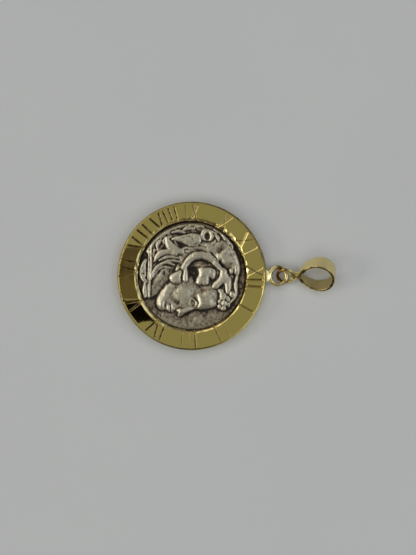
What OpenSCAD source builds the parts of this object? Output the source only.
// Coin pendant: an old silver coin, held in a wide gold bezel that is engraved
// with the hours of a dial, and a tapered ribbon bail linked to it ring in ring.
// It lies on its back: +Z points up out of the coin's face, +Y towards the bail.

/* [Coin] */
// Diameter of the coin
coin_d = 18.8; // [16:0.1:24]
// Thickness of the coin's field at its edge
coin_t = 1.4; // [1.2:0.05:2]
// Height of the relief above the field
relief_h = 0.85; // [0.4:0.05:1.1]
// Width over which the relief fades out before the lip
relief_fade = 0.4; // [0.2:0.05:1]
// Thickness lost where the coin's worn edge slopes down
edge_drop = 0.25; // [0.1:0.05:0.5]
// Width of that worn edge
edge_w = 0.7; // [0.4:0.1:1.2]
// Clearance between the coin and its seat, all round
coin_gap = 0.06; // [0.02:0.01:0.2]

/* [Bezel] */
// Width of the flat engraved band
band_w = 2.38; // [1.8:0.05:4]
// Radius of the rounded outer edge
rim_round = 0.45; // [0.2:0.05:0.8]
// Width of the bevel that slopes down to the coin
lip_w = 0.57; // [0.4:0.01:0.9]
// Depth of that bevel
lip_drop = 0.45; // [0.2:0.05:0.8]
// Thickness of the lip where it covers the coin's edge
lip_t = 0.3; // [0.2:0.05:0.6]
// How far each lip reaches over the coin's edge
lip_cover = 0.3; // [0.2:0.05:0.6]
// Thickness of the lip behind the coin
back_t = 0.5; // [0.3:0.05:1]
// Chamfer of the back edge
back_chamfer = 0.3; // [0.1:0.05:0.6]
// Width of the solder swell on the rim, behind the ring
swell_w = 0.12; // [0.05:0.01:0.3]
// Height of the solder swell
swell_h = 1.2; // [0.6:0.1:2]

/* [Numerals] */
// Width of an engraved stroke
stroke_w = 0.34; // [0.2:0.01:0.45]
// Distance from the end of a stroke to the band's outer edge
stroke_stop = 0.1; // [0.05:0.05:0.3]

/* [Bezel ring] */
// Outer diameter of the ring soldered to the bezel
ring_d = 3.63; // [3.2:0.01:5]
// Thickness of its wire
ring_wire = 0.67; // [0.5:0.01:0.9]
// Distance from the rim to the ring, filled by the foot
foot_len = 0.18; // [0.1:0.01:0.5]
// Width of the foot
foot_w = 1.7; // [1:0.1:2.5]
// Height of the foot
foot_h = 0.8; // [0.5:0.05:1.2]

/* [Bail] */
// Outer diameter of the ring at the bail's foot
bail_ring_d = 3.23; // [2.9:0.01:4]
// Thickness of that ring's wire
bail_ring_wire = 0.57; // [0.4:0.01:0.8]
// Clearance where the two rings cross
ring_gap = 0.14; // [0.05:0.01:0.3]
// Length of the neck between the ring and the loop
neck_len = 0.43; // [0.2:0.01:1]
// Thickness of the neck
neck_d = 0.9; // [0.6:0.05:1.2]
// Length of the loop from its pinch to its round end
loop_len = 6.4; // [6:0.1:9]
// Height of the loop across its round end
loop_h = 5.4; // [4.5:0.1:6]
// Radius of the arc that each leg follows
leg_r = 4.3; // [4.1:0.1:12]
// Thickness of the ribbon
ribbon_t = 0.4; // [0.3:0.05:0.8]
// Width of the ribbon at the round end
ribbon_w = 2.9; // [2.6:0.05:4]
// Width of the ribbon at the pinch
pinch_w = 1.2; // [0.9:0.05:2.4]
// Angle by which the bail lies turned to the left
bail_turn = 3; // [-10:0.5:10]
// Clearance under the bail where it lies
floor_gap = 0.02; // [0:0.01:0.1]

/* [Hidden] */
$fn = 96;
gold = [0.80, 0.68, 0.33];
silver = [0.62, 0.61, 0.57];

// Bezel: radii and heights, from the coin outwards and from the floor up
coin_r = coin_d / 2;
seat_r = coin_r + coin_gap;
window_r = coin_r - lip_cover;
lip_r = window_r + lip_w;
band_r = lip_r + band_w;
bezel_r = band_r + rim_round;
coin_z = back_t + coin_gap;
lip_z = coin_z + coin_t + coin_gap;
lip_edge_z = lip_z + lip_t;
bezel_h = lip_edge_z + lip_drop;

// Rings: each one's centre line, and the bezel ring's place
ring_r = (ring_d - ring_wire) / 2;
ring_y = bezel_r + foot_len + ring_d / 2;
ring_z = bezel_h / 2;
bail_ring_r = (bail_ring_d - bail_ring_wire) / 2;
// The bail's ring starts at the middle of the bezel's ring
bail_y = ring_y + bail_ring_r;
// The rings cross at this angle, measured round the bail's ring
cross_angle = acos(pow(ring_r / bail_ring_r, 2) / 2 - 1);
// The bail leans over until the wires clear each other by ring_gap there
bail_lean = asin((ring_wire / 2 + bail_ring_wire / 2 + ring_gap) / (bail_ring_r * sin(cross_angle)));

// Loop: a round end of radius tip_r, and two arcs that meet at the pinch
pinch_y = bail_ring_d / 2 + neck_len;
tip_r = loop_h / 2;
tip_y = loop_len - tip_r;
leg_y = (tip_y * tip_y + 2 * leg_r * tip_r - tip_r * tip_r) / (2 * tip_y);
leg_x = sqrt(leg_r * leg_r - leg_y * leg_y);
join_y = leg_y + leg_r * (tip_y - leg_y) / (leg_r - tip_r);

// The ribbon's long edges are arcs that widen it from the pinch to the round end
widening = (ribbon_w - pinch_w) / 2;
side_r = (loop_len * loop_len + widening * widening) / (2 * widening);
// Outer half height of the loop, and half width of its ribbon, at y past the pinch
function loop_half(y) = y < join_y
    ? sqrt(leg_r * leg_r - pow(y - leg_y, 2)) - leg_x
    : sqrt(max(0, tip_r * tip_r - pow(y - tip_y, 2)));
function ribbon_half(y) = ribbon_w / 2 - side_r + sqrt(side_r * side_r - pow(loop_len - y, 2));

// Height of the loop's lowest edge, with the bail raised by this angle
function lowest(rise) = ring_z + min([for (i = [0:40]) let (y = i * loop_len / 40)
    (pinch_y + y) * sin(rise)
    - (loop_half(y) * sin(bail_lean) + ribbon_half(y) * cos(bail_lean)) * cos(rise)]);
// The rise at which that edge rests on the floor, found by halving
function resting_rise(low, high, steps) = steps == 0 ? (low + high) / 2
    : lowest((low + high) / 2) < floor_gap
    ? resting_rise((low + high) / 2, high, steps - 1)
    : resting_rise(low, (low + high) / 2, steps - 1);
bail_rise = resting_rise(-20, 60, 20);

// The origin is the middle of the whole length. The loop's far end is found from
// how much the loop's own axis points along the pendant.
axis_share = sin(bail_turn) * sin(bail_lean) - cos(bail_turn) * sin(bail_rise) * cos(bail_lean);
far_y = bail_y + (pinch_y + tip_y) * cos(bail_turn) * cos(bail_rise)
    + tip_r * sqrt(1 - axis_share * axis_share) + ribbon_w / 2 * abs(axis_share);
middle_y = (far_y - bezel_r) / 2;

// Numerals, clockwise from the bail. Each row is one numeral, and each pair
// the angles of a stroke at the band's outer edge and at the coin's window.
numerals = [
    [[0.5, -11.7], [-7, 1], [3.3, 4.2], [9, 11]],
    [[30.6, 31.2]],
    [[57.2, 57.6], [65.9, 66.4]],
    [[86.8, 87.1], [92.5, 92.8], [98.8, 99.1]],
    [[117, 119], [121.4, 127.5], [130.2, 127.5]],
    [[150.4, 153.4], [157.8, 153.4]],
    [[178.5, 185], [187.2, 185.6], [192.8, 194.3]],
    [[205.4, 211.4], [213.5, 211.4], [220.2, 221], [226.3, 227]],
    [[233.7, 238], [242.4, 238], [245.7, 246.4], [250.6, 251], [255.6, 256]],
    [[264.8, 265], [270.5, 276.5], [274.9, 268.8]],
    [[298.1, 306.8], [304.8, 296.7]],
    [[321.6, 332.4], [330, 319], [336, 336.8]],
];

// Relief. Lengths are shares of the coin: 94 units reach from its centre to
// its edge. u runs to the right of the worn coin and v towards the bail.
// Heights are hundredths of relief_h.
unit = coin_r / 94;
grid_n = 60;

// Raised grounds: the outline, its height and the width of its rounded edge
nape = [[-56, 66], [-74, 54], [-85, 36], [-90, 12], [-90, -12], [-85, -34], [-75, -52],
    [-60, -67], [-44, -77], [-20, -69], [-6, -66], [-18, -52], [-22, -32], [-20, -14], [-34, 30]];
neck = [[-22, -26], [4, -34], [26, -52], [34, -62], [34, -70], [6, -70], [-12, -63], [-22, -50]];
skull = [[-61, 62], [-48, 71], [-28, 76], [-9, 82], [1, 80], [0, 72], [-7, 63], [-17, 56],
    [-15, 42], [-22, 34], [-27, 20], [-26, 5], [-16, -13], [-26, -19], [-34, -26], [-44, -17],
    [-53, -4], [-59, 14], [-62, 48]];
face = [[10, 46], [32, 49], [47, 46], [53, 36], [56, 24], [56, 8], [60, -3], [65, -13],
    [68, -20], [66, -24], [59, -27], [61, -33], [60, -38], [57, -44], [58, -51], [55, -56],
    [48, -59], [39, -59], [27, -54], [15, -46], [6, -36], [-6, -24], [-12, 5], [-6, 34]];
jaw = [[-10, 47], [-6, 57], [3, 66], [15, 68], [25, 65], [28, 59], [22, 54], [15, 53],
    [20, 44], [20, 37], [15, 36], [5, 47], [-3, 44], [-9, 36], [-14, 39]];
grounds = [[nape, 40, 8], [neck, 45, 8], [skull, 78, 11], [face, 72, 9], [jaw, 95, 6]];

// Locks, folds and ribbons of the headdress: u and v of the root, the middle
// and the tip, the half width in the middle, the height
locks = [
    [-22, 38, -35, 16, -18, -12, 6, 95], [-77, 39, -74, 47, -68, 53, 3, 75],
    [-72, 40, -69, 47, -63, 53, 3, 80], [-67, 41, -64, 47, -58, 52, 3, 85],
    [-73, 54, -66, 58, -56, 58, 3, 75], [-67, 61, -60, 64, -51, 64, 3, 75],
    [-62, 12, -69, 4, -70, -9, 6, 85], [-56, 6, -61, -8, -62, -29, 5, 85],
    [-40, -22, -47, -34, -61, -41, 6, 90], [-36, -22, -38, -38, -30, -58, 5, 90],
    [-30, -24, -30, -39, -25, -55, 4, 85], [-25, -20, -27, -32, -25, -46, 3, 85],
    [-79, 19, -84, 12, -85, 2, 4, 65], [-79, 6, -84, -3, -84, -14, 4, 65],
    [-76, -8, -82, -16, -81, -28, 4, 65], [-72, -20, -78, -29, -76, -41, 4, 65],
    [-68, -28, -72, -38, -69, -50, 4, 65], [-65, -42, -67, -50, -62, -61, 4, 65],
    [-58, -44, -60, -53, -54, -65, 4, 65], [-51, -44, -53, -55, -47, -69, 4, 65],
    [-44, -44, -46, -57, -40, -68, 3, 65], [-46, -8, -44, -18, -45, -26, 3, 90],
    [-20, -26, -21, -45, 2, -69, 3, 70], [-40, -67, 0, -70, 35, -71, 3, 60],
    [-39, -73, 0, -73, 34, -75, 3, 60], [1, 75, 30, 72, 57, 59, 3, 50],
];

// Curls, knobs and paws: u and v of the centre, the radius, the height
curls = [
    [31, 67, 6, 85], [33, 53, 6, 95], [45, 55, 5, 90], [54, 53, 5, 75], [25, 47, 6, 92],
    [39, 47, 5, 90], [49, 47, 5, 85], [1, 33, 9, 98], [-7, 25, 7, 95], [7, 23, 8, 98],
    [-5, 16, 7, 95], [7, 15, 7, 95], [14, 29, 5, 92], [-16, -80, 6, 55], [-7, -83, 5, 60],
    [3, -80, 5, 55], [19, -80, 5, 55], [29, -81, 5, 55],
];

// Soft swells and hollows: u and v of the centre, half width, half height, amount
swells = [
    [-25, 56, 6, 8, 22], [-9, 75, 8, 4, 18], [-24, 48, 5, 3, -30], [-67, 26, 6, 5, -60],
    [39, 26, 13, 15, 16], [46, 13, 12, 3, 18], [29, -16, 13, 10, 20], [46, 4, 9, 4, -22],
    [46, 3, 4, 3, 18], [50, -51, 8, 5, 18], [59, -21, 4, 3, 20], [55, -36, 6, 1.5, -18],
    [56, -32, 4, 2, 12], [56, -39, 4, 2, 12], [-1, -6, 7, 14, 26], [-1, -4, 3, 6, -45],
];

// Distance from a point to a segment, and the share along it of the nearest point
function along(p, a, b) = max(0, min(1, (p - a) * (b - a) / ((b - a) * (b - a))));
function reach(p, a, b) = norm(p - a - along(p, a, b) * (b - a));
function dome(share) = share < 1 ? 1 - share * share : 0;
// Whether a point lies inside an outline, by the edges that a ray crosses
function inside(p, line) = len([for (i = [0:len(line) - 1])
    let (a = line[i], b = line[(i + 1) % len(line)])
    if ((a[1] > p[1]) != (b[1] > p[1])
        && p[0] < (b[0] - a[0]) * (p[1] - a[1]) / (b[1] - a[1]) + a[0]) 1]) % 2 == 1;
function edge_reach(p, line) = min([for (i = [0:len(line) - 1])
    reach(p, line[i], line[(i + 1) % len(line)])]);
function ground_at(p, g) = !inside(p, g[0]) ? 0 : g[1] * sin(90 * min(1, edge_reach(p, g[0]) / g[2]));
// A lock tapers from its middle to its tip, and a little to its root
function lock_at(p, k) = abs(p[0] - k[2]) > 50 ? 0
    : let (a = [k[0], k[1]], m = [k[2], k[3]], b = [k[4], k[5]], w = k[6])
    k[7] * max(dome(reach(p, a, m) / (w * (0.6 + 0.4 * along(p, a, m)))),
        dome(reach(p, m, b) / (w * (1 - 0.6 * along(p, m, b)))));
function curl_at(p, c) = c[3] * dome(norm(p - [c[0], c[1]]) / c[2]);
function swell_at(p, s) = abs(p[0] - s[0]) > 3 * s[2] || abs(p[1] - s[1]) > 3 * s[3] ? 0
    : s[4] * exp(-pow((p[0] - s[0]) / s[2], 2) - pow((p[1] - s[1]) / s[3], 2));

// Height of the coin's face over the field, in millimetres
function relief_at(p) =
    let (raised = max([for (g = grounds) ground_at(p, g)]),
        strands = max(concat([for (k = locks) lock_at(p, k)], [for (c = curls) curl_at(p, c)])),
        top = max(raised, strands),
        soft = raised > 0 ? [for (s = swells) swell_at(p, s)] : [0],
        total = max(0, min(100, top + soft * [for (s = soft) 1])))
    total / 100 * relief_h;
// The relief fades out before it meets the lip, by half a grid step
function fade_at(r) = max(0, min(1, (window_r - coin_r / grid_n - r) / relief_fade));
function edge_at(r) = r < coin_r - edge_w ? 0 : edge_drop * pow((r - coin_r + edge_w) / edge_w, 2);
// A square grid bent into a disc, so that its outline is a true circle
function disc_x(i, j) = let (x = 2 * i / grid_n - 1, y = 2 * j / grid_n - 1) x * sqrt(1 - y * y / 2);

// Moves a piece from the bezel's centre to the pendant's own origin
module placed() {
    translate([0, -middle_y, 0])
        children();
}

// One stroke, cut as a V along the band, that runs out over the bevel
module stroke(outer, inner) {
    a = window_r * [sin(inner), cos(inner)];
    b = (band_r - stroke_stop) * [sin(outer), cos(outer)];
    side = stroke_w / sqrt(2);
    translate([a[0], a[1], bezel_h])
        rotate([0, 0, atan2(b[1] - a[1], b[0] - a[0])])
            rotate([45, 0, 0])
                translate([0, -side / 2, -side / 2])
                    cube([norm(b - a), side, side]);
}

module bezel_section() {
    difference() {
        union() {
            translate([window_r, 0])
                square([band_r - window_r, bezel_h]);
            translate([window_r, 0])
                square([bezel_r - window_r, bezel_h - rim_round]);
            translate([band_r, bezel_h - rim_round])
                circle(rim_round);
        }
        translate([0, coin_z - coin_gap])
            square([seat_r, coin_t + 2 * coin_gap]);
        polygon([[0, lip_edge_z], [window_r, lip_edge_z], [lip_r, bezel_h],
            [lip_r, bezel_h + 1], [0, bezel_h + 1]]);
        polygon([[bezel_r - back_chamfer, 0], [bezel_r + 1, back_chamfer + 1],
            [bezel_r + 1, -1], [bezel_r - back_chamfer - 1, -1]]);
    }
}

module ring(r, wire) {
    rotate_extrude()
        translate([r, 0])
            circle(d = wire, $fn = 32);
}

// The swell of solder on the rim, over the sector behind the ring
module solder_swell() {
    intersection() {
        rotate_extrude()
            translate([bezel_r - swell_w, ring_z - swell_h / 2])
                square([2 * swell_w, swell_h]);
        linear_extrude(bezel_h)
            polygon([[0, 0], 2 * bezel_r * [sin(-23.6), cos(23.6)], 2 * bezel_r * [sin(12.6), cos(12.6)]]);
    }
}

module ring_foot() {
    difference() {
        translate([-foot_w / 2, bezel_r - rim_round, ring_z - foot_h / 2])
            cube([foot_w, rim_round + foot_len + ring_wire, foot_h]);
        translate([0, ring_y, 0])
            cylinder(r = ring_r, h = bezel_h);
    }
}

module bezel() {
    color(gold) placed() {
        difference() {
            rotate_extrude()
                bezel_section();
            for (numeral = numerals, pair = numeral)
                stroke(pair[0], pair[1]);
        }
        solder_swell();
        ring_foot();
        translate([0, ring_y, ring_z])
            ring(ring_r, ring_wire);
    }
}

// The coin: the relief as a grid of heights, closed by its edge and flat back
module coin() {
    n = grid_n;
    field_z = coin_z + coin_t;
    top = [for (j = [0:n], i = [0:n])
        let (p = [disc_x(i, j), disc_x(j, i)] * coin_r)
        [p[0], p[1], field_z + relief_at(p / unit) * fade_at(norm(p)) - edge_at(norm(p))]];
    // Grid indices round the outline, anticlockwise
    outline = concat([for (i = [0:n - 1]) i], [for (j = [0:n - 1]) j * (n + 1) + n],
        [for (i = [n:-1:1]) n * (n + 1) + i], [for (j = [n:-1:1]) j * (n + 1)]);
    m = len(outline);
    base = [for (k = outline) [top[k][0], top[k][1], coin_z]];
    first = len(top);
    face_tris = [for (j = [0:n - 1], i = [0:n - 1])
        let (a = j * (n + 1) + i, b = a + 1, c = a + n + 1, d = c + 1)
        each (i + j) % 2 == 0 ? [[a, d, b], [a, c, d]] : [[a, c, b], [b, c, d]]];
    wall = [for (k = [0:m - 1]) [outline[k], outline[(k + 1) % m], first + (k + 1) % m, first + k]];
    back = [[for (k = [0:m - 1]) first + k]];
    color(silver) placed()
        polyhedron(points = concat(top, base), faces = concat(face_tris, wall, back));
}

// Outline of the loop, set in from its outer face by this much
module loop_outline(inset) {
    intersection() {
        translate([-leg_x, leg_y])
            circle(leg_r - inset);
        translate([leg_x, leg_y])
            circle(leg_r - inset);
        translate([-loop_h, 0])
            square([2 * loop_h, join_y]);
    }
    translate([0, tip_y])
        circle(tip_r - inset);
}

// The ribbon's width along the loop, seen from its side
module ribbon_outline() {
    intersection() {
        translate([ribbon_w / 2 - side_r, loop_len])
            circle(side_r);
        translate([side_r - ribbon_w / 2, loop_len])
            circle(side_r);
        translate([-ribbon_w, 0])
            square([2 * ribbon_w, loop_len]);
    }
}

// The bail as it is made, flat on its side, with its ring's centre at the origin
module flat_bail() {
    ring(bail_ring_r, bail_ring_wire);
    translate([0, bail_ring_r, 0])
        rotate([-90, 0, 0])
            cylinder(d = neck_d, h = pinch_y - bail_ring_r + ribbon_t);
    translate([0, pinch_y, 0])
        intersection() {
            difference() {
                linear_extrude(ribbon_w, center = true)
                    loop_outline(0);
                linear_extrude(ribbon_w + 1, center = true)
                    loop_outline(ribbon_t);
            }
            translate([loop_h, 0, 0])
                rotate([0, -90, 0])
                    linear_extrude(2 * loop_h)
                        ribbon_outline();
        }
}

module bail() {
    color(gold) placed()
        translate([0, bail_y, ring_z])
            rotate([bail_rise, 0, bail_turn])
                rotate([0, bail_lean, 0])
                    flat_bail();
}

bezel();
coin();
bail();
